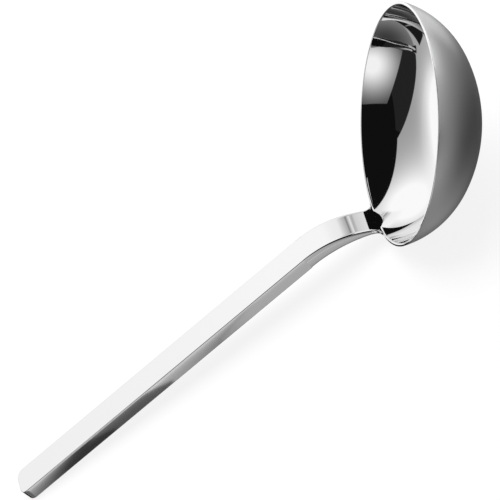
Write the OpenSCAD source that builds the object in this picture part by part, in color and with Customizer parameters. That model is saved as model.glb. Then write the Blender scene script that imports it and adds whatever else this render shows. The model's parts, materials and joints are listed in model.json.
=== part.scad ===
// Soup ladle in polished stainless steel: a deep round bowl, a bent neck welded to its rim,
// and a hollow bar handle made of two pressed shells.
// Units are millimetres. The ladle lies as it rests on a table: on the bowl's back and the handle's end.
// +Z is up and +X runs from the bowl to the handle's end. The origin is on the table, under the middle
// of the whole outline. Each piece is drawn about the bowl's own axis and then laid down by at_rest().

/* [Bowl] */
// Outside diameter of the bowl at the rim
bowl_d = 90; // [84:1:98]
// Outside radius of the bowl's round base
base_r = 55.5; // [52:0.2:62]
// How far the base's arc runs up from the middle, in degrees
base_angle = 32.5; // [29:0.5:37]
// Slope of the outside wall at the rim, in degrees from level
rim_slope = 74.5; // [70:0.5:84]
// Thickness of the bowl's sheet
bowl_wall = 1.2; // [0.8:0.1:2]

/* [Neck] */
// Lean of the straight foot from the bowl's axis, in degrees
foot_lean = 13; // [8:0.5:18]
// Length of the straight foot above the rim, measured along its front
foot_rise = 8.8; // [6:0.2:12]
// How much the foot is ground down on every side, below the bend's section
foot_relief = 0.05; // [0.02:0.01:0.2]
// Radius of the bend, measured on its front face
bend_r = 35.5; // [28:0.5:46]
// Angle of the handle from the bowl's axis, in degrees
handle_angle = 50; // [44:1:56]
// How far the neck's back is ground below the handle's back where they meet
back_relief = 0.05; // [0.02:0.01:0.2]
// Length of the tang that enters the handle
tang_length = 18; // [8:1:30]
// Clearance between the tang and the handle's shells
tang_gap = 0.1; // [0.05:0.05:0.3]

/* [Weld] */
// Thickness of the weld under the neck's foot
weld_t = 0.8; // [0.4:0.1:1.5]
// Radius of the hollow fillets ground at both sides of the foot
fillet_r = 5.5; // [3:0.5:6.5]
// Thickness of the weld where its fillets end, on the rim and on the neck
weld_edge = 0.15; // [0.1:0.05:0.4]
// How far the weld stands proud of the bowl's wall, inside and outside
weld_proud = 0.1; // [0.05:0.05:0.3]

/* [Handle] */
// Width of the handle's flat face
handle_w = 12.7; // [10:0.1:16]
// Thickness of the handle from front to back
handle_t = 5.5; // [5:0.1:8]
// Length of the handle from the neck to its end
handle_l = 146; // [110:0.5:190]
// Sheet thickness of the handle's shells
shell_wall = 1.2; // [0.8:0.1:1.5]
// Rounding of the handle's long edges
edge_r = 0.7; // [0.4:0.1:0.9]
// Rounding of the end's two corners, seen from the front
end_corner_r = 3.4; // [1.5:0.1:4.5]

/* [Hidden] */
$fn = 96;
// Overlap by which cutting shapes run past what they cut, and joined shapes into each other
past = 1;

// Bowl outline: a base arc about the axis and a side arc that meets it at the same slope
rim_r = bowl_d / 2;
side_r = (rim_r - base_r * sin(base_angle)) / (sin(rim_slope) - sin(base_angle));
side_x = (base_r - side_r) * sin(base_angle);
side_z = side_r * cos(rim_slope);
base_z = side_z + (base_r - side_r) * cos(base_angle);
inner_rim_r = side_x + sqrt(pow(side_r - bowl_wall, 2) - pow(side_z, 2));

// Neck: the foot carries on the wall of the bowl, then bends to the handle's angle
along_foot = [sin(foot_lean), cos(foot_lean)];
along_handle = [sin(handle_angle), cos(handle_angle)];
to_back = [cos(handle_angle), -sin(handle_angle)];
bend_start = [inner_rim_r, 0] + foot_rise * along_foot;
bend_centre = bend_start + bend_r * [cos(foot_lean), -sin(foot_lean)];
bend_end = bend_centre - bend_r * to_back;

// Back of the neck: one hollow arc from the rim's outer edge to the handle's back
back_end = bend_end + (handle_t - back_relief) * to_back;
back_chord = back_end - [rim_r, 0];
back_r = -(back_chord * back_chord) / (2 * (back_chord * to_back));
back_centre = back_end + back_r * to_back;

// Tang: the shells' hollow less the clearance on every side
tang_t = handle_t - 2 * (shell_wall + tang_gap);
tang_w = handle_w - 2 * (shell_wall + tang_gap);

// Resting pose: the tilt at which the bowl's side arc and the end's back edge touch one level
tip_front = bend_end + handle_l * along_handle;
tip_back = tip_front + handle_t * to_back;
reach = tip_back - [side_x, side_z];
tilt = atan2(reach[1], reach[0]) + asin(side_r / norm(reach));
rest_low = side_z * cos(tilt) - side_x * sin(tilt) - side_r;
rest_left = side_z * sin(tilt) - side_x * cos(tilt) - side_r;
rest_right = tip_front[0] * cos(tilt) + tip_front[1] * sin(tilt);

// Lays a piece drawn about the bowl's axis down on the table
module at_rest() {
    translate([-(rest_left + rest_right) / 2, 0, -rest_low])
        rotate([0, tilt, 0])
            children();
}

// Moves to the handle's start: local z runs along the handle, local x from its front to its back
module at_handle() {
    translate([bend_end[0], 0, bend_end[1]])
        rotate([0, handle_angle, 0])
            children();
}

// Half outline of a filled bowl whose surface lies the given distance inside the outer one
module bowl_half(inset) {
    below = 2 * base_r;
    intersection() {
        translate([0, -base_r])
            square([rim_r + past, base_r]);
        translate([0, base_z])
            circle(r = base_r - inset);
        union() {
            translate([side_x, side_z])
                circle(r = side_r - inset);
            polygon([
                [0, base_z],
                [0, base_z - below],
                [below * sin(base_angle), base_z - below * cos(base_angle)]
            ]);
        }
    }
}

// Bar section with rounded corners: x from the front face back, y across, centred on y
module bar_section(thickness, width, corner) {
    union() {
        translate([corner, -width / 2])
            square([thickness - 2 * corner, width]);
        translate([0, corner - width / 2])
            square([thickness, width - 2 * corner]);
        for (x = [corner, thickness - corner], side = [-1, 1])
            translate([x, side * (width / 2 - corner)])
                circle(r = corner);
    }
}

module bowl() {
    color("gainsboro")
        at_rest()
            rotate_extrude()
                difference() {
                    bowl_half(0);
                    bowl_half(bowl_wall);
                }
}

// The neck about the bowl's axis, with its foot standing on the weld
module neck_shape() {
    bend_angle = handle_angle - foot_lean;
    difference() {
        union() {
            translate([inner_rim_r, 0, 0])
                rotate([0, foot_lean, 0])
                    translate([foot_relief, 0, -past])
                        linear_extrude(foot_rise + 2 * past)
                            bar_section(handle_t - 2 * foot_relief, handle_w - 2 * foot_relief, edge_r);
            translate([bend_centre[0], 0, bend_centre[1]])
                rotate([90, 0, 0])
                    rotate([0, 0, 180 - handle_angle])
                        rotate_extrude(angle = bend_angle)
                            translate([bend_r - handle_t, 0])
                                bar_section(handle_t, handle_w, edge_r);
            at_handle()
                translate([shell_wall + tang_gap, 0, -past])
                    linear_extrude(tang_length + past)
                        bar_section(tang_t, tang_w, edge_r / 2);
        }
        translate([back_centre[0], 0, back_centre[1]])
            rotate([90, 0, 0])
                cylinder(r = back_r, h = handle_w + 2 * past, center = true, $fn = 180);
        translate([0, -handle_w, -handle_t * 2])
            cube([rim_r * 2, handle_w * 2, handle_t * 2 + weld_t]);
    }
}

module neck() {
    color("silver")
        at_rest()
            neck_shape();
}

// A strip of the bowl's wall carried on above the rim, trimmed to hollow fillets beside the foot
module neck_weld() {
    half_w = handle_w / 2 + weld_edge + fillet_r;
    top = weld_edge + fillet_r;
    lean = top * tan(foot_lean);
    inside = inner_rim_r - weld_proud;
    outside = rim_r + weld_proud;
    strip_angle = 90;
    color("lightgray")
        at_rest()
            difference() {
                intersection() {
                    rotate([0, 0, -strip_angle / 2])
                        rotate_extrude(angle = strip_angle)
                            polygon([[inside, 0], [outside, 0], [outside + lean, top], [inside + lean, top]]);
                    rotate([90, 0, 90])
                        linear_extrude(rim_r * 2)
                            difference() {
                                translate([-half_w, 0])
                                    square([2 * half_w, top]);
                                for (side = [-1, 1])
                                    translate([side * half_w, top])
                                        circle(r = fillet_r);
                            }
                }
                translate([0, -handle_w / 2, weld_t])
                    cube([rim_r * 2, handle_w, top]);
            }
}

// One pressed shell of the handle between the given distances from the front face
module handle_shell(front, back) {
    intersection() {
        difference() {
            linear_extrude(handle_l)
                bar_section(handle_t, handle_w, edge_r);
            translate([shell_wall, shell_wall - handle_w / 2, -past])
                cube([
                    handle_t - 2 * shell_wall,
                    handle_w - 2 * shell_wall,
                    handle_l - shell_wall + past
                ]);
        }
        translate([front, 0, 0])
            rotate([0, 90, 0])
                mirror([1, 0, 0])
                    linear_extrude(back - front)
                        handle_plan();
    }
}

// Outline of the handle seen from the front: square at the neck, rounded at the end's corners
module handle_plan() {
    union() {
        translate([0, -handle_w / 2])
            square([handle_l - end_corner_r, handle_w]);
        translate([0, end_corner_r - handle_w / 2])
            square([handle_l, handle_w - 2 * end_corner_r]);
        for (side = [-1, 1])
            translate([handle_l - end_corner_r, side * (handle_w / 2 - end_corner_r)])
                circle(r = end_corner_r);
    }
}

module handle_front() {
    color("whitesmoke")
        at_rest()
            at_handle()
                handle_shell(0, handle_t / 2);
}

module handle_back() {
    color("darkgray")
        at_rest()
            at_handle()
                handle_shell(handle_t / 2, handle_t);
}

bowl();
neck();
neck_weld();
handle_front();
handle_back();
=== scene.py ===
import json
import math

import bmesh
import bpy
from mathutils import Matrix, Vector


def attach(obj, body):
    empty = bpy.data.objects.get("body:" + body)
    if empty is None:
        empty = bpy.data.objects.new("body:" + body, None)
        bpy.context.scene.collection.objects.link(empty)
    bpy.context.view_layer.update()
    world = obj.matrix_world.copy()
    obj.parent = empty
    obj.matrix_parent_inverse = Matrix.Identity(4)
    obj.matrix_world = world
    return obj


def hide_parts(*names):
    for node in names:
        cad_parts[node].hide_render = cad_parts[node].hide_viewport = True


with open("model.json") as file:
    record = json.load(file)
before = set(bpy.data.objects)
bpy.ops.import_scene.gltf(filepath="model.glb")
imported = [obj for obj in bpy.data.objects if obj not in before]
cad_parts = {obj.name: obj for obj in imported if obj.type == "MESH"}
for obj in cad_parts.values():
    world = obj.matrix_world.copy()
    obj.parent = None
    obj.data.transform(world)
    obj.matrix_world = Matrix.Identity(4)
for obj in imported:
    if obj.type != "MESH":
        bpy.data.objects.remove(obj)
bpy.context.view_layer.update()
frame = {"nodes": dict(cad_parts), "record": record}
print("frame loaded, nodes:", ", ".join(sorted(frame["nodes"])))

mm = 0.001
mergeDistance = 0.002 * mm
near = 0.01 * mm  # a point this close to a plane counts as on it
smoothAngle = math.radians(35.0)
scene = bpy.context.scene
scene.view_settings.view_transform = "Standard"


# The camera and every piece are set out about the bowl's own axis, with the rim's centre at the
# origin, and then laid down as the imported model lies
mouth = next(mount for mount in frame["record"]["mounts"] if mount["name"] == "bowl_mouth")
bowlTilt = math.atan2(mouth["axis"][0], mouth["axis"][2])
layDown = Matrix.Translation(mouth["pos_m"]) @ Matrix.Rotation(bowlTilt, 4, "Y")
print("bowl's axis leans", round(math.degrees(bowlTilt), 3), "degrees")


# Camera, fitted to the photograph's 500 x 500 frame
cameraSetup = {
    "place": (-0.67529, 0.95709, 0.39571),
    "aim": (0.04531, 0.01547, 0.05273),
    "roll": -90.833,
    "lens": 242.48,
    "sensor": 36.0,
    "clip": (0.05, 50.0),
}


def addCamera(setup):
    place, aim = Vector(setup["place"]), Vector(setup["aim"])
    turn = (aim - place).to_track_quat("-Z", "Y").to_matrix().to_4x4()
    roll = Matrix.Rotation(math.radians(setup["roll"]), 4, "Z")
    lens = bpy.data.cameras.new("photoCamera")
    lens.lens, lens.sensor_width = setup["lens"], setup["sensor"]
    lens.clip_start, lens.clip_end = setup["clip"]
    camera = bpy.data.objects.new("photoCamera", lens)
    camera.matrix_world = layDown @ Matrix.Translation(place) @ turn @ roll
    scene.collection.objects.link(camera)
    scene.camera = camera


addCamera(cameraSetup)
print("camera placed")


# Shader maths: a socket wrapped with Python's operators
class Value:
    def __init__(self, tree, socket):
        self.tree, self.socket = tree, socket

    def maths(self, operation, *others):
        return addNode(self.tree, "ShaderNodeMath", {"operation": operation}, [self, *others])

    def clamped(self, low, high):
        return self.maths("MAXIMUM", low).maths("MINIMUM", high)

    def __add__(self, other):
        return self.maths("ADD", other)

    def __sub__(self, other):
        return self.maths("SUBTRACT", other)

    def __mul__(self, other):
        return self.maths("MULTIPLY", other)

    def __truediv__(self, other):
        return self.maths("DIVIDE", other)

    def __rsub__(self, other):
        return addNode(self.tree, "ShaderNodeMath", {"operation": "SUBTRACT"}, [other, self])

    def __neg__(self):
        return 0.0 - self

    __radd__ = __add__
    __rmul__ = __mul__


def addNode(tree, kind, settings=None, inputs=(), output=0):
    node = tree.nodes.new(kind)
    for name, value in (settings or {}).items():
        if name == "stops":
            setStops(node.color_ramp.elements, value)
        else:
            setattr(node, name, value)
    pairs = inputs.items() if isinstance(inputs, dict) else enumerate(inputs)
    for key, value in pairs:
        if isinstance(value, Value):
            tree.links.new(value.socket, node.inputs[key])
        else:
            node.inputs[key].default_value = value
    return Value(tree, node.outputs[output]) if node.outputs else node


def setStops(elements, stops):
    elements.remove(elements[1])
    elements[0].position = stops[0][0]
    for place, tone in stops:
        stop = elements[0] if place == stops[0][0] else elements.new(place)
        stop.color = (tone, tone, tone, 1.0)


def dot(vector, direction):
    product = {"operation": "DOT_PRODUCT"}
    return addNode(vector.tree, "ShaderNodeVectorMath", product, [vector, direction], "Value")


def smoothStep(value, low, high):
    limits = {"Value": value, "From Min": low, "From Max": high}
    smooth = {"interpolation_type": "SMOOTHSTEP"}
    return addNode(value.tree, "ShaderNodeMapRange", smooth, limits)


def blend(factor, first, second):
    numbers = {0: factor, 2: first, 3: second}
    return addNode(factor.tree, "ShaderNodeMix", {"data_type": "FLOAT"}, numbers)


def ramp(value, stops):
    return addNode(value.tree, "ShaderNodeValToRGB", {"stops": stops}, [value])


def noise(vector, scale, detail, roughness):
    looks = {"Vector": vector, "Scale": scale, "Detail": detail, "Roughness": roughness}
    return addNode(vector.tree, "ShaderNodeTexNoise", None, looks)


def direction(azimuth, elevation):
    a, e = math.radians(azimuth), math.radians(elevation)
    return (math.cos(e) * math.cos(a), math.cos(e) * math.sin(a), math.sin(e))


def addGlow(ray, azimuth, elevation, sharpness, strength):
    away = dot(ray, direction(azimuth, elevation)) - 1.0
    return (away * sharpness).maths("EXPONENT") * strength


# Studio that the steel mirrors: a white wall on one side, black cards on the other, a soft box
# between them, a white screen behind and a grey table below. Camera rays see plain white instead.
# A place is an azimuth and an elevation in degrees. An edge is the direction that the painted
# surface's straight end faces. A glow is its place, its sharpness and its strength.
studio = {
    "wallEdge": (-80.27, 13.3),
    "wallBase": 0.40,
    "wallGlows": [
        (-90.0, 46.0, 7.0, 1.07),
        (-26.0, 19.0, 17.8, 2.03),
        (-58.0, -12.0, 7.0, 0.8),
    ],
    "wallWhite": 1.21,
    "wallFoot": (-0.60, -0.40),  # heights between which the wall fades into the table
    # Corner of the room, where the wall ends: stripes across it, from the corner inwards
    "cornerEdge": (-41.81, -1.72),
    "cornerReach": 0.46,
    "cornerFade": 0.8,
    "cornerTones": [
        (0.0, 0.95),
        (0.25, 0.95),
        (0.345, 0.80),
        (0.362, 0.52),
        (0.38, 1.0),
        (0.40, 0.85),
        (0.438, 0.30),
        (0.45, 0.34),
        (0.462, 0.57),
        (0.483, 0.60),
        (0.526, 0.75),
        (0.57, 0.91),
        (0.611, 1.08),
        (0.85, 1.15),
    ],
    "cornerTop": (0.62, 0.68),
    "cornerSide": (0.2, 0.4),  # how far towards -y the stripes set in
    "boxEdges": [(117.6, -36.4), (29.0, -49.7), (100.7, 58.3)],
    "boxGlow": (60.0, -5.0, 10.5, 1.22),
    "boxWhite": 1.12,
    "screenEdges": [(171.4, -32.5), (-92.0, 0.0)],
    "screenTone": 1.2,
    "duskHeights": (0.10, 0.40),
    "duskEdge": (145.2, 0.0),
    "duskFade": 0.3,
    "duskTone": 0.55,
    "black": 0.006,
    "edgeBlur": 0.006,
    "tableTones": [
        (0.0, 0.8),
        (0.2, 0.36),
        (0.45, 0.22),
        (0.65, 0.11),
        (0.78, 0.05),
        (0.9, 0.08),
        (1.0, 0.28),
    ],
    "tableGlows": [
        (112.0, -58.0, 7.0, 0.26),
        (73.0, -30.0, 30.0, 0.3),
        (124.0, -36.0, 9.0, 0.32),
        (-50.0, -68.0, 25.0, 0.22),
    ],
    "darkFloors": [(-38.0, -40.0, 12.0, 0.97), (172.0, -60.0, 7.0, 0.75)],
    "greyCard": [(0.5, -8.0), (58.0, -8.0), (58.0, -62.0), (0.5, -62.0)],
    "greyDark": (31.0, -22.0),
    "greyTones": (0.05, 1.8, 0.30),  # at its dark place, rise away from there, and most
    "blackCard": [
        (9.0, -4.0),
        (14.0, -6.5),
        (30.0, -10.3),
        (50.0, -10.3),
        (50.0, 60.0),
        (-5.0, 60.0),
    ],
    "blackCardTone": 0.02,
    # Dark things on the wall and the table: corners and tone
    "shades": [
        ([(0.5, -11.5), (0.5, -30.5), (-13.8, -30.5), (-13.8, -25.0), (-11.5, -22.0)], 0.012),
        ([(-13.2, -27.5), (-50.0, -27.5), (-50.0, 1.0), (-24.0, 1.0), (-13.2, -6.0)], 0.03),
        ([(4.5, -11.5), (10.0, -10.5), (12.0, -5.0), (7.5, -4.0)], 0.012),
        ([(0.5, -30.5), (-62.0, -30.5), (-62.0, -46.0), (0.5, -46.0)], 0.012),
    ],
}

# Striped board on the table, which the handle's side mirrors. Its units are the photograph's
# pixels from the handle's end, along the side and across it.
board = {
    "along": ((167.68, -5.39), 3365.7, 324.1),  # direction, units in it, and start
    "across": ((-95.33, -52.18), 3366.0, -41.3),
    "sides": (0.0, 9.0),
    "middle": 5.0,
    "half": (9.4, 15.0),
    "slants": (-2.3, 3.75, -7.0),
    "turns": [(50.0, 85.0), (200.0, 240.0)],
    "fade": 0.055,
    "fadeEnd": (250.0, 290.0),
    "brightLine": (3.2, 1.6, 0.9),
    "top": (-0.5, -0.55),
    "length": 360.0,
    "tones": [
        (0.0, 0.35),
        (0.025, 0.333),
        (0.067, 0.228),
        (0.108, 0.131),
        (0.15, 0.06),
        (0.192, 0.049),
        (0.244, 0.049),
        (0.264, 0.127),
        (0.453, 0.138),
        (0.467, 0.535),
        (0.525, 0.495),
        (0.608, 0.449),
        (0.692, 0.407),
        (0.753, 0.35),
        (0.764, 0.46),
        (0.817, 0.495),
        (0.983, 0.49),
    ],
}


def edgesOf(corners):
    points = [Vector(direction(*corner)) for corner in corners]
    middle = sum(points, Vector())
    pairs = zip(points, points[1:] + points[:1])
    normals = [here.cross(there).normalized() for here, there in pairs]
    return [normal if normal.dot(middle) > 0.0 else -normal for normal in normals]


def addBoard(ray, setup):
    def measure(place, scale, start):
        return dot(ray, direction(*place)) * scale + start

    along, across = measure(*setup["along"]), measure(*setup["across"])
    inward = across.clamped(*setup["sides"]) - setup["middle"]
    first, second, third = setup["slants"]
    slant = blend(smoothStep(along, *setup["turns"][0]), first, second)
    slant = blend(smoothStep(along, *setup["turns"][1]), slant, third)
    tone = ramp((along - slant * inward) / setup["length"], setup["tones"])
    fade = (1.0 - smoothStep(along, *setup["fadeEnd"])) * setup["fade"]
    inner, outer, gain = setup["brightLine"]
    tone = tone * (1.0 - inward * fade) * (smoothStep(across, inner, outer) * gain + 1.0)
    inner, outer = setup["half"]
    return tone, smoothStep((across - setup["middle"]).maths("ABSOLUTE"), outer, inner)


def addWorld(setup, boardSetup):
    world = bpy.data.worlds.new("studio")
    scene.world = world
    world.use_nodes = True
    tree = world.node_tree
    tree.nodes.clear()
    ray = addNode(tree, "ShaderNodeTexCoord", output="Generated")
    height = dot(ray, (0.0, 0.0, 1.0))
    blur = setup["edgeBlur"]

    def inFrontOf(normal):
        return smoothStep(dot(ray, normal), -blur, blur)

    def within(normals):
        return math.prod((inFrontOf(normal) for normal in normals), start=1.0)

    def facing(edges):
        return within([direction(*edge) for edge in edges])

    def glowing(glows, start):
        return sum((addGlow(ray, *glow) for glow in glows), start=start)

    # Wall, with the stripes of the room's corner
    wall = facing([setup["wallEdge"], setup["cornerEdge"]])
    wallTone = glowing(setup["wallGlows"], setup["wallBase"]).clamped(0.0, setup["wallWhite"])
    inwards, reach = dot(ray, direction(*setup["cornerEdge"])), setup["cornerReach"]
    atCorner = 1.0 - smoothStep(inwards, setup["cornerFade"] * reach, reach)
    atCorner = atCorner * (1.0 - smoothStep(height, *setup["cornerTop"]))
    atCorner = atCorner * smoothStep(dot(ray, (0.0, -1.0, 0.0)), *setup["cornerSide"])
    wallTone = blend(atCorner, wallTone, ramp(inwards / reach, setup["cornerTones"]))

    # Back of the room, above the horizon
    dusk = 1.0 - smoothStep(height, *setup["duskHeights"])
    dusk = dusk * smoothStep(dot(ray, direction(*setup["duskEdge"])), 0.0, setup["duskFade"])
    back = facing(setup["screenEdges"]) * setup["screenTone"] + dusk * setup["duskTone"]

    # Table, with the grey card and the striped board on it
    table = glowing(setup["tableGlows"], ramp(-height, setup["tableTones"]))
    least, rise, most = setup["greyTones"]
    grey = (1.0 - dot(ray, direction(*setup["greyDark"]))) * rise + least
    table = blend(within(edgesOf(setup["greyCard"])), table, grey.clamped(0.0, most))
    for dark in setup["darkFloors"]:
        table = table * (1.0 - addGlow(ray, *dark))
    stripes, onBoard = addBoard(ray, boardSetup)
    onBoard = onBoard * smoothStep(height, *boardSetup["top"]) * inFrontOf((0.0, 1.0, 0.0))
    table = blend(onBoard, table, stripes)

    tone = blend(smoothStep(-height, -blur, blur), back + setup["black"], table)
    tone = blend(within(edgesOf(setup["blackCard"])), tone, setup["blackCardTone"])
    tone = blend(wall * smoothStep(height, *setup["wallFoot"]), tone, wallTone)
    for corners, shade in setup["shades"]:
        tone = blend(within(edgesOf(corners)), tone, shade)
    box = addGlow(ray, *setup["boxGlow"]).clamped(0.0, setup["boxWhite"])
    tone = blend(facing(setup["boxEdges"]), tone, box)
    seen = addNode(tree, "ShaderNodeLightPath", output="Is Camera Ray")
    sky = addNode(tree, "ShaderNodeBackground", None, {"Color": blend(seen, tone, 1.0)})
    addNode(tree, "ShaderNodeOutputWorld", None, {"Surface": sky})


addWorld(studio, board)
print("studio painted")


# Floor: plain white paper that keeps a soft shadow. The steel mirrors the studio's table
# instead of it.
floorSetup = {
    "size": 40.0,
    "colour": (0.9, 0.9, 0.9, 1.0),
    "ownWhite": 0.86,
    "lampPower": 34.0,
    "lampSize": 1.6,
    "lampPlace": (-0.3, -0.5, 1.6),
}


def makePaper(setup):
    paper = bpy.data.materials.new("whitePaper")
    paper.use_nodes = True
    tree = paper.node_tree
    tree.nodes.clear()
    shaded = addNode(tree, "ShaderNodeBsdfDiffuse", None, {"Color": setup["colour"]})
    plain = {"Color": (1.0, 1.0, 1.0, 1.0), "Strength": 1.0}
    white = addNode(tree, "ShaderNodeEmission", None, plain)
    seen = addNode(tree, "ShaderNodeLightPath", output="Is Camera Ray")
    mixed = addNode(tree, "ShaderNodeMixShader", None, [seen * setup["ownWhite"], shaded, white])
    addNode(tree, "ShaderNodeOutputMaterial", None, {"Surface": mixed})
    paper.cycles.emission_sampling = "NONE"
    return paper


def addFloor(setup):
    bpy.ops.object.select_all(action="DESELECT")
    bpy.ops.mesh.primitive_plane_add(size=setup["size"], location=(0.0, 0.0, 0.0))
    floor = bpy.context.object
    floor.name = "floor"
    floor.data.materials.append(makePaper(setup))
    floor.visible_glossy = False
    floor.visible_shadow = False


def addLamp(setup):
    lamp = bpy.data.lights.new("softLamp", "AREA")
    lamp.energy, lamp.size = setup["lampPower"], setup["lampSize"]
    holder = bpy.data.objects.new("softLamp", lamp)
    holder.location = setup["lampPlace"]
    holder.rotation_euler = (-holder.location).to_track_quat("-Z", "Y").to_euler()
    holder.visible_glossy = False
    scene.collection.objects.link(holder)


addFloor(floorSetup)
addLamp(floorSetup)
print("floor laid")


def startPiece():
    bpy.ops.object.select_all(action="DESELECT")


def shapeMesh(piece):
    if bpy.context.mode != "EDIT_MESH":
        bpy.ops.object.mode_set(mode="EDIT")
    return bmesh.from_edit_mesh(piece.data)


def selectOnly(piece, kind, isChosen):
    bpy.ops.mesh.select_all(action="DESELECT")
    bpy.ops.mesh.select_mode(type=kind)
    mesh = bmesh.from_edit_mesh(piece.data)
    for part in mesh.faces if kind == "FACE" else mesh.edges:
        part.select_set(isChosen(part))
    bmesh.update_edit_mesh(piece.data)


def closeSeams():
    bpy.ops.mesh.select_all(action="SELECT")
    bpy.ops.mesh.remove_doubles(threshold=mergeDistance)


def turnOutwards():
    bpy.ops.mesh.select_all(action="SELECT")
    bpy.ops.mesh.normals_make_consistent(inside=False)


def finishPiece(piece, name, node, place=layDown):
    if bpy.context.mode != "OBJECT":
        bpy.ops.object.mode_set(mode="OBJECT")
    piece.name = piece.data.name = name
    piece.matrix_world = place @ piece.matrix_world
    bpy.ops.object.transform_apply(location=True, rotation=True, scale=True)
    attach(piece, "root")
    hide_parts(node)
    print("made", name, "with", len(piece.data.polygons), "faces")
    return piece


def arc(centre, radius, start, end, steps):
    turns = [math.radians(start + (end - start) * step / steps) for step in range(steps + 1)]
    x, z = centre
    return [Vector((x + radius * math.sin(t), 0.0, z - radius * math.cos(t))) for t in turns]


# Bowl: its outline is a base arc about the axis and a side arc that meets it at one slope
bowlShape = {
    "rimRadius": 45.0 * mm,
    "baseRadius": 55.5 * mm,
    "baseAngle": 32.5,
    "rimSlope": 74.5,
    "wall": 1.2 * mm,
    "rimRounding": 0.25 * mm,
    "rimSupport": 0.6 * mm,  # the wall's last ring, this far below the rim
    "satinStart": -0.2 * mm,
    "inwardMark": -10.0 * mm,  # a height on the axis that the inside faces
    "baseSteps": 16,
    "sideSteps": 24,
    "turnSteps": 400,
}


def workOutBowl(shape):
    base, rim = math.radians(shape["baseAngle"]), math.radians(shape["rimSlope"])
    across = shape["rimRadius"] - shape["baseRadius"] * math.sin(base)
    radius = across / (math.sin(rim) - math.sin(base))
    gap = shape["baseRadius"] - radius
    x, z = gap * math.sin(base), radius * math.cos(rim)
    shape["sideRadius"], shape["sideCentre"] = radius, (x, z)
    shape["baseCentre"] = (0.0, z + gap * math.cos(base))


def insideRadius(shape, height):
    x, z = shape["sideCentre"]
    return x + math.sqrt((shape["sideRadius"] - shape["wall"]) ** 2 - (z - height) ** 2)


def wallProfile(shape, inset):
    radius, corner = shape["baseRadius"] - inset, shape["baseAngle"]
    base = arc(shape["baseCentre"], radius, 0.0, corner, shape["baseSteps"])
    centre, radius = shape["sideCentre"], shape["sideRadius"] - inset
    rimAngle = math.degrees(math.acos(centre[1] / radius))
    support = math.degrees(shape["rimSupport"] / radius)
    side = arc(centre, radius, corner, rimAngle - support, shape["sideSteps"])
    rim = arc(centre, radius, rimAngle, rimAngle, 1)[:1]
    return base[:-1] + side + rim


def isRimCircle(edge):
    first, second = (vert.co for vert in edge.verts)
    level = abs(first.z) < near and abs(second.z) < near
    return level and abs(first.length - second.length) < 10.0 * near


def makeBowl(shape):
    startPiece()
    outline = wallProfile(shape, 0.0) + wallProfile(shape, shape["wall"])[::-1]
    bpy.ops.mesh.primitive_plane_add(size=mm, location=outline[0])
    bowl = bpy.context.object
    bpy.ops.object.transform_apply(location=True)
    shapeMesh(bowl)
    bpy.ops.mesh.merge(type="CENTER")
    for here, there in zip(outline, outline[1:]):
        bpy.ops.mesh.extrude_vertices_move(TRANSFORM_OT_translate={"value": there - here})
    bpy.ops.mesh.select_all(action="SELECT")
    bpy.ops.mesh.spin(
        steps=shape["turnSteps"],
        angle=2.0 * math.pi,
        center=(0.0, 0.0, 0.0),
        axis=(0.0, 0.0, 1.0),
    )
    closeSeams()
    turnOutwards()
    selectOnly(bowl, "EDGE", isRimCircle)
    bpy.ops.mesh.bevel(offset=shape["rimRounding"], segments=5, profile=0.5)
    inward = Vector((0.0, 0.0, shape["inwardMark"]))
    mesh = shapeMesh(bowl)
    for face in mesh.faces:
        face.smooth = True
        centre = face.calc_center_median()
        outside = face.normal.dot(centre - inward) > 0.0
        face.material_index = 1 if outside and centre.z < shape["satinStart"] else 0
    return finishPiece(bowl, "bowlBody", "bowl")


workOutBowl(bowlShape)
bowl = makeBowl(bowlShape)


# Neck: foot on the rim, bend and tang. The front face starts inside the bowl's wall, below the
# rim, and carries on up through the given leans from the bowl's axis to the bend. The foot's
# straight front and the bend's radius set where the handle starts.
neckShape = {
    "width": 12.7 * mm,
    "thickness": 5.5 * mm,
    "footLean": math.radians(13.0),
    "footRise": 8.8 * mm,
    "bendRadius": 35.5 * mm,
    "handleAngle": math.radians(50.0),
    "backRelief": 0.05 * mm,
    "frontDepth": -3.1 * mm,
    "frontCover": 0.005 * mm,
    "frontLeans": [(-3.1, 21.5), (-2.3, 17.5), (-1.4, 10.0), (3.0, 10.0), (8.6, 15.9)],
    "frontStep": 0.2 * mm,
    "bendSteps": 36,
    "edgeRounding": 0.9 * mm,
    "edgeShare": 0.4,  # most of the thickness that a rounding takes
    "edgeFullness": 3.0,
    "flatHalf": 6.1 * mm,
    "roundBelow": (-2.9 * mm, -1.3 * mm),
    "roundAbove": (0.0, 4.0 * mm),
    "dive": 60.0,
    "diveHeights": (0.45 * mm, 0.9 * mm),
    "flareRadius": 3.2 * mm,
    "flareEdge": 0.15 * mm,
    "tangLength": 18.0 * mm,
    "tangInset": 1.3 * mm,
    "acrossSteps": 28,
    "cornerSteps": 6,
    "sideSteps": 3,
    "weldHeight": 0.8 * mm,
}


def workOutNeck(shape, bowlShape):
    lean, angle = shape["footLean"], shape["handleAngle"]
    back = Vector((math.cos(angle), -math.sin(angle)))
    shape["wallRadius"] = insideRadius(bowlShape, 0.0)
    depth = shape["frontDepth"]
    front = insideRadius(bowlShape, depth) + shape["frontCover"]
    shape["frontStart"] = (front, depth)
    foot = Vector((math.sin(lean), math.cos(lean))) * shape["footRise"]
    bend = Vector((math.cos(lean), -math.sin(lean))) * shape["bendRadius"]
    start = Vector((shape["wallRadius"], 0.0)) + foot + bend - back * shape["bendRadius"]
    # The back is one hollow arc from the rim's outer edge to the handle's back
    end = start + back * (shape["thickness"] - shape["backRelief"])
    chord = end - Vector((bowlShape["rimRadius"], 0.0))
    radius = -chord.length_squared / (2.0 * chord.dot(back))
    shape["handleStart"], shape["backRadius"] = start, radius
    shape["backCentre"] = end + back * radius


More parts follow.
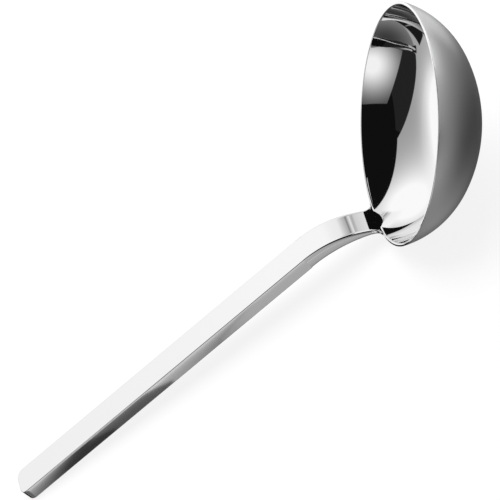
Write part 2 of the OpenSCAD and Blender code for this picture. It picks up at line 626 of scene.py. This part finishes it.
def leanAt(stops, height):
    for (low, first), (high, second) in zip(stops, stops[1:]):
        if height <= high:
            share = (height - low) / (high - low)
            return math.radians(first + (second - first) * share)
    return math.radians(stops[-1][1])


def neckStations(shape):
    stops = [(height * mm, lean) for height, lean in shape["frontLeans"]]
    point = Vector(shape["frontStart"])
    stations = [(point, leanAt(stops, point.y))]
    while point.y < stops[-1][0] - mergeDistance:
        step = min(shape["frontStep"], stops[-1][0] - point.y)
        lean = leanAt(stops, point.y + step / 2.0)
        point = point + Vector((step * math.tan(lean), step))
        stations.append((point, leanAt(stops, point.y)))
    chord = shape["handleStart"] - point
    end = shape["handleAngle"]
    start = 2.0 * math.atan2(chord.x, chord.y) - end
    radius = chord.x / (math.cos(start) - math.cos(end))
    print("neck bends from", round(math.degrees(start), 2), "degrees")
    for step in range(1, shape["bendSteps"] + 1):
        lean = start + (end - start) * step / shape["bendSteps"]
        turned = (math.cos(start) - math.cos(lean), math.sin(lean) - math.sin(start))
        stations.append((point + Vector(turned) * radius, lean))
    return stations


def neckDepth(shape, point, back):
    away = point - shape["backCentre"]
    along = away.dot(back)
    return -along - math.sqrt(along**2 - away.length_squared + shape["backRadius"] ** 2)


def fuller(shape, share):
    if abs(share) < 0.000001:
        return 0.0
    return math.copysign(abs(share) ** (2.0 / shape["edgeFullness"]), share)


def sectionLoop(shape, depth, half, corner):
    flat = half - corner
    turns, across, sides = shape["cornerSteps"], shape["acrossSteps"], shape["sideSteps"]
    corners = [
        (corner, flat, 180.0),
        (depth - corner, flat, 90.0),
        (depth - corner, -flat, 0.0),
        (corner, -flat, -90.0),
    ]
    rounds = []
    for inward, aside, start in corners:
        angles = [math.radians(start - 90.0 * step / turns) for step in range(turns + 1)]
        spots = [(fuller(shape, math.cos(t)), fuller(shape, math.sin(t))) for t in angles]
        rounds.append([Vector((inward + corner * x, aside + corner * y)) for x, y in spots])
    loop = []
    for index, points in enumerate(rounds):
        following = rounds[(index + 1) % 4][0]
        count = across if index % 2 else sides
        loop += points
        loop += [points[-1].lerp(following, step / count) for step in range(1, count)]
    return loop + loop[:1]


def smooth(value, low, high):
    share = min(max((value - low) / (high - low), 0.0), 1.0)
    return share * share * (3.0 - 2.0 * share)


def sag(radius, aside):
    return radius - math.sqrt(radius**2 - aside**2)


# How far the foot's front moves back, to be round with the wall below and flat above
def frontShift(shape, height, aside):
    radius, aside = shape["wallRadius"], abs(aside)
    beyond = max(sag(radius, aside) - sag(radius, shape["flatHalf"]), 0.0)
    if height >= 0.0:
        return -beyond * (1.0 - smooth(height, *shape["roundAbove"]))
    flat = smooth(height, *shape["roundBelow"])
    edge = max(aside - shape["flatHalf"], 0.0)
    under = shape["dive"] * edge**2 * smooth(-height, *shape["diveHeights"])
    return under - beyond * flat - sag(radius, aside) * (1.0 - flat)


def flareAt(shape, height):
    flare, edge = shape["flareRadius"], shape["flareEdge"]
    rise = min(max(height - edge, 0.0), flare)
    if height >= flare + edge:
        return 0.0
    return edge + flare - math.sqrt(flare**2 - (flare - rise) ** 2)


def neckRing(shape, point, lean):
    back = Vector((math.cos(lean), -math.sin(lean)))
    depth, height = neckDepth(shape, point, back), point.y
    half = shape["width"] / 2.0 + flareAt(shape, height)
    corner = min(shape["edgeRounding"], shape["edgeShare"] * depth)
    rounded = 1.0 - smooth(height, *shape["roundAbove"])
    ring = []
    for inward, aside in sectionLoop(shape, depth, half, corner):
        share = inward / depth
        backShift = -sag(shape["wallRadius"], aside) * rounded
        inward += frontShift(shape, height, aside) * (1.0 - share) + backShift * share
        ring.append((point.x + inward * back.x, aside, point.y + inward * back.y))
    return ring


def makeNeck(shape):
    startPiece()
    rings = [neckRing(shape, point, lean) for point, lean in neckStations(shape)]
    columns, rows = len(rings[0]) - 1, len(rings) - 1
    bpy.ops.mesh.primitive_grid_add(x_subdivisions=columns, y_subdivisions=rows, size=0.1)
    neck = bpy.context.object
    for vert, place in zip(neck.data.vertices, [place for ring in rings for place in ring]):
        vert.co = place
    shapeMesh(neck)
    closeSeams()
    bpy.ops.mesh.fill_holes(sides=0)
    turnOutwards()
    angle = shape["handleAngle"]
    along = Vector((math.sin(angle), 0.0, math.cos(angle)))
    selectOnly(neck, "FACE", lambda face: face.normal.dot(along) > 0.99 and len(face.verts) > 4)
    bpy.ops.mesh.inset(thickness=shape["tangInset"])
    tang = along * shape["tangLength"]
    bpy.ops.mesh.extrude_region_move(TRANSFORM_OT_translate={"value": tang})
    bpy.ops.object.mode_set(mode="OBJECT")
    return neck


def cutAcross(piece, height, keepAbove):
    shapeMesh(piece)
    bpy.ops.mesh.select_all(action="SELECT")
    bpy.ops.mesh.bisect(
        plane_co=(0.0, 0.0, height),
        plane_no=(0.0, 0.0, 1.0),
        use_fill=True,
        clear_inner=keepAbove,
        clear_outer=not keepAbove,
    )
    bpy.ops.object.mode_set(mode="OBJECT")


def smoothEdges(piece):
    bpy.ops.object.shade_smooth_by_angle(angle=smoothAngle)
    weighted = piece.modifiers.new("flatFaces", "WEIGHTED_NORMAL")
    weighted.keep_sharp = True
    weighted.weight = 80
    bpy.ops.object.modifier_apply(modifier=weighted.name)


workOutNeck(neckShape, bowlShape)
neck = makeNeck(neckShape)
bpy.ops.object.duplicate()
footWeld = bpy.context.object
cutAcross(footWeld, neckShape["weldHeight"], keepAbove=False)
smoothEdges(footWeld)
finishPiece(footWeld, "footWeld", "neck_weld")
startPiece()
bpy.context.view_layer.objects.active = neck
neck.select_set(True)
cutAcross(neck, neckShape["weldHeight"], keepAbove=True)
smoothEdges(neck)
finishPiece(neck, "neckForging", "neck")


# Handle: two pressed shells, each drawn from the neck (z = 0) along z, its outer face towards -x
handleShape = {
    "width": neckShape["width"],
    "thickness": neckShape["thickness"],
    "length": 146.0 * mm,
    "wall": 1.2 * mm,
    "edgeRounding": 0.55 * mm,
    "backRounding": 0.35 * mm,
    "edgeProfile": 0.6,
    "endRounding": 3.4 * mm,
    "neckSpare": 3.0 * mm,  # length that is drawn past the neck's end and cut off
}


def isAlongX(edge):
    span = edge.verts[0].co - edge.verts[1].co
    return abs(span.x) > 0.9 * span.length


def makeShell(shape, name, node, isBack):
    startPiece()
    half, spare, length = shape["thickness"] / 2.0, shape["neckSpare"], shape["length"]
    bpy.ops.mesh.primitive_cube_add(
        size=1.0,
        location=(half / 2.0, 0.0, (length - spare) / 2.0),
        scale=(half, shape["width"], length + spare),
    )
    shell = bpy.context.object
    bpy.ops.object.transform_apply(location=True, rotation=True, scale=True)
    shapeMesh(shell)
    atEnd = length - near
    selectOnly(shell, "EDGE", lambda edge: isAlongX(edge) and edge.verts[0].co.z > atEnd)
    bpy.ops.mesh.bevel(offset=shape["endRounding"], segments=14, profile=0.5)
    selectOnly(shell, "EDGE", lambda edge: all(vert.co.x < near for vert in edge.verts))
    rounding = shape["backRounding"] if isBack else shape["edgeRounding"]
    bpy.ops.mesh.bevel(offset=rounding, segments=10, profile=shape["edgeProfile"])
    selectOnly(shell, "FACE", lambda face: all(vert.co.x > half - near for vert in face.verts))
    bpy.ops.mesh.inset(thickness=shape["wall"])
    hollow = (shape["wall"] - half, 0.0, 0.0)
    bpy.ops.mesh.extrude_region_move(TRANSFORM_OT_translate={"value": hollow})
    cutAcross(shell, 0.0, keepAbove=True)
    bpy.ops.object.shade_smooth_by_angle(angle=smoothAngle)
    for face in shell.data.polygons:  # flat faces mirror as truly flat ones
        face.use_smooth = max(abs(part) for part in face.normal) < 0.99999
    if isBack:
        toBack = Matrix.Translation((shape["thickness"], 0.0, 0.0))
        shell.matrix_world = toBack @ Matrix.Rotation(math.pi, 4, "Z")
    start, angle = neckShape["handleStart"], neckShape["handleAngle"]
    place = Matrix.Translation((start.x, 0.0, start.y)) @ Matrix.Rotation(angle, 4, "Y")
    return finishPiece(shell, name, node, layDown @ place)


handleFront = makeShell(handleShape, "handleFront", "handle_front", False)
handleBack = makeShell(handleShape, "handleBack", "handle_back", True)


# Steel finishes. The bowl is polished and brushed in rings about its axis, the bar along its
# length. The mottle is the slight unevenness that hand polishing leaves.
finishes = {
    "polishedBowl": {
        "colour": (0.78, 0.78, 0.78, 1.0),
        "roughness": 0.03,
        "lineSpread": 0.012,
        "mottleSpread": 0.012,
        "lineScale": 4200.0,
        "relief": 0.00004 * mm,
    },
    "satinBowl": {
        "colour": (0.70, 0.70, 0.70, 1.0),
        "roughness": 0.34,
        "lineSpread": 0.08,
        "mottleSpread": 0.05,
        "lineScale": 5200.0,
        "relief": 0.0016 * mm,
    },
    "polishedNeck": {
        "colour": (0.755, 0.755, 0.755, 1.0),
        "roughness": 0.018,
        "lineSpread": 0.008,
        "mottleSpread": 0.008,
        "lineScale": 3600.0,
        "relief": 0.00002 * mm,
    },
    "polishedBar": {
        "colour": (0.755, 0.755, 0.755, 1.0),
        "roughness": 0.014,
        "lineSpread": 0.006,
        "mottleSpread": 0.006,
        "lineScale": 3600.0,
        "relief": 0.00002 * mm,
    },
}
mottleScale = 160.0
barStretch = 60.0


def aboutBowl(tree):
    place = addNode(tree, "ShaderNodeTexCoord", output="Object")
    turn = {"Vector": place, "Location": mouth["pos_m"], "Rotation": (0.0, bowlTilt, 0.0)}
    return addNode(tree, "ShaderNodeMapping", {"vector_type": "TEXTURE"}, turn)


def ringPlace(tree):
    place = aboutBowl(tree)
    x, y, z = (addNode(tree, "ShaderNodeSeparateXYZ", None, [place], axis) for axis in range(3))
    radius = (x * x + y * y).maths("SQRT")
    return addNode(tree, "ShaderNodeCombineXYZ", None, [radius, 0.0, z])


def barPlace(tree):
    turn = {
        "Vector": aboutBowl(tree),
        "Rotation": (0.0, neckShape["handleAngle"], 0.0),
        "Scale": (1.0, 1.0, barStretch),
    }
    return addNode(tree, "ShaderNodeMapping", {"vector_type": "TEXTURE"}, turn)


def steelMaterial(name, linePlace):
    finish = finishes[name]
    material = bpy.data.materials.new(name)
    material.use_nodes = True
    tree = material.node_tree
    tree.nodes.clear()
    lines = noise(linePlace(tree), finish["lineScale"], 3.0, 0.6)
    place = addNode(tree, "ShaderNodeTexCoord", output="Object")
    mottle = noise(place, mottleScale, 3.0, 0.55)
    rough = (lines - 0.5) * finish["lineSpread"] + (mottle - 0.5) * finish["mottleSpread"]
    bump = {"Strength": 1.0, "Distance": finish["relief"], "Height": lines}
    looks = {
        "Base Color": finish["colour"],
        "Metallic": 1.0,
        "Roughness": rough + finish["roughness"],
        "Normal": addNode(tree, "ShaderNodeBump", None, bump),
    }
    steel = addNode(tree, "ShaderNodeBsdfPrincipled", None, looks)
    addNode(tree, "ShaderNodeOutputMaterial", None, {"Surface": steel})
    return material


bowl.data.materials.append(steelMaterial("polishedBowl", ringPlace))
bowl.data.materials.append(steelMaterial("satinBowl", ringPlace))
neckSteel = steelMaterial("polishedNeck", barPlace)
barSteel = steelMaterial("polishedBar", barPlace)
for piece in (neck, footWeld):
    piece.data.materials.append(neckSteel)
for piece in (handleFront, handleBack):
    piece.data.materials.append(barSteel)
print("finishes given")
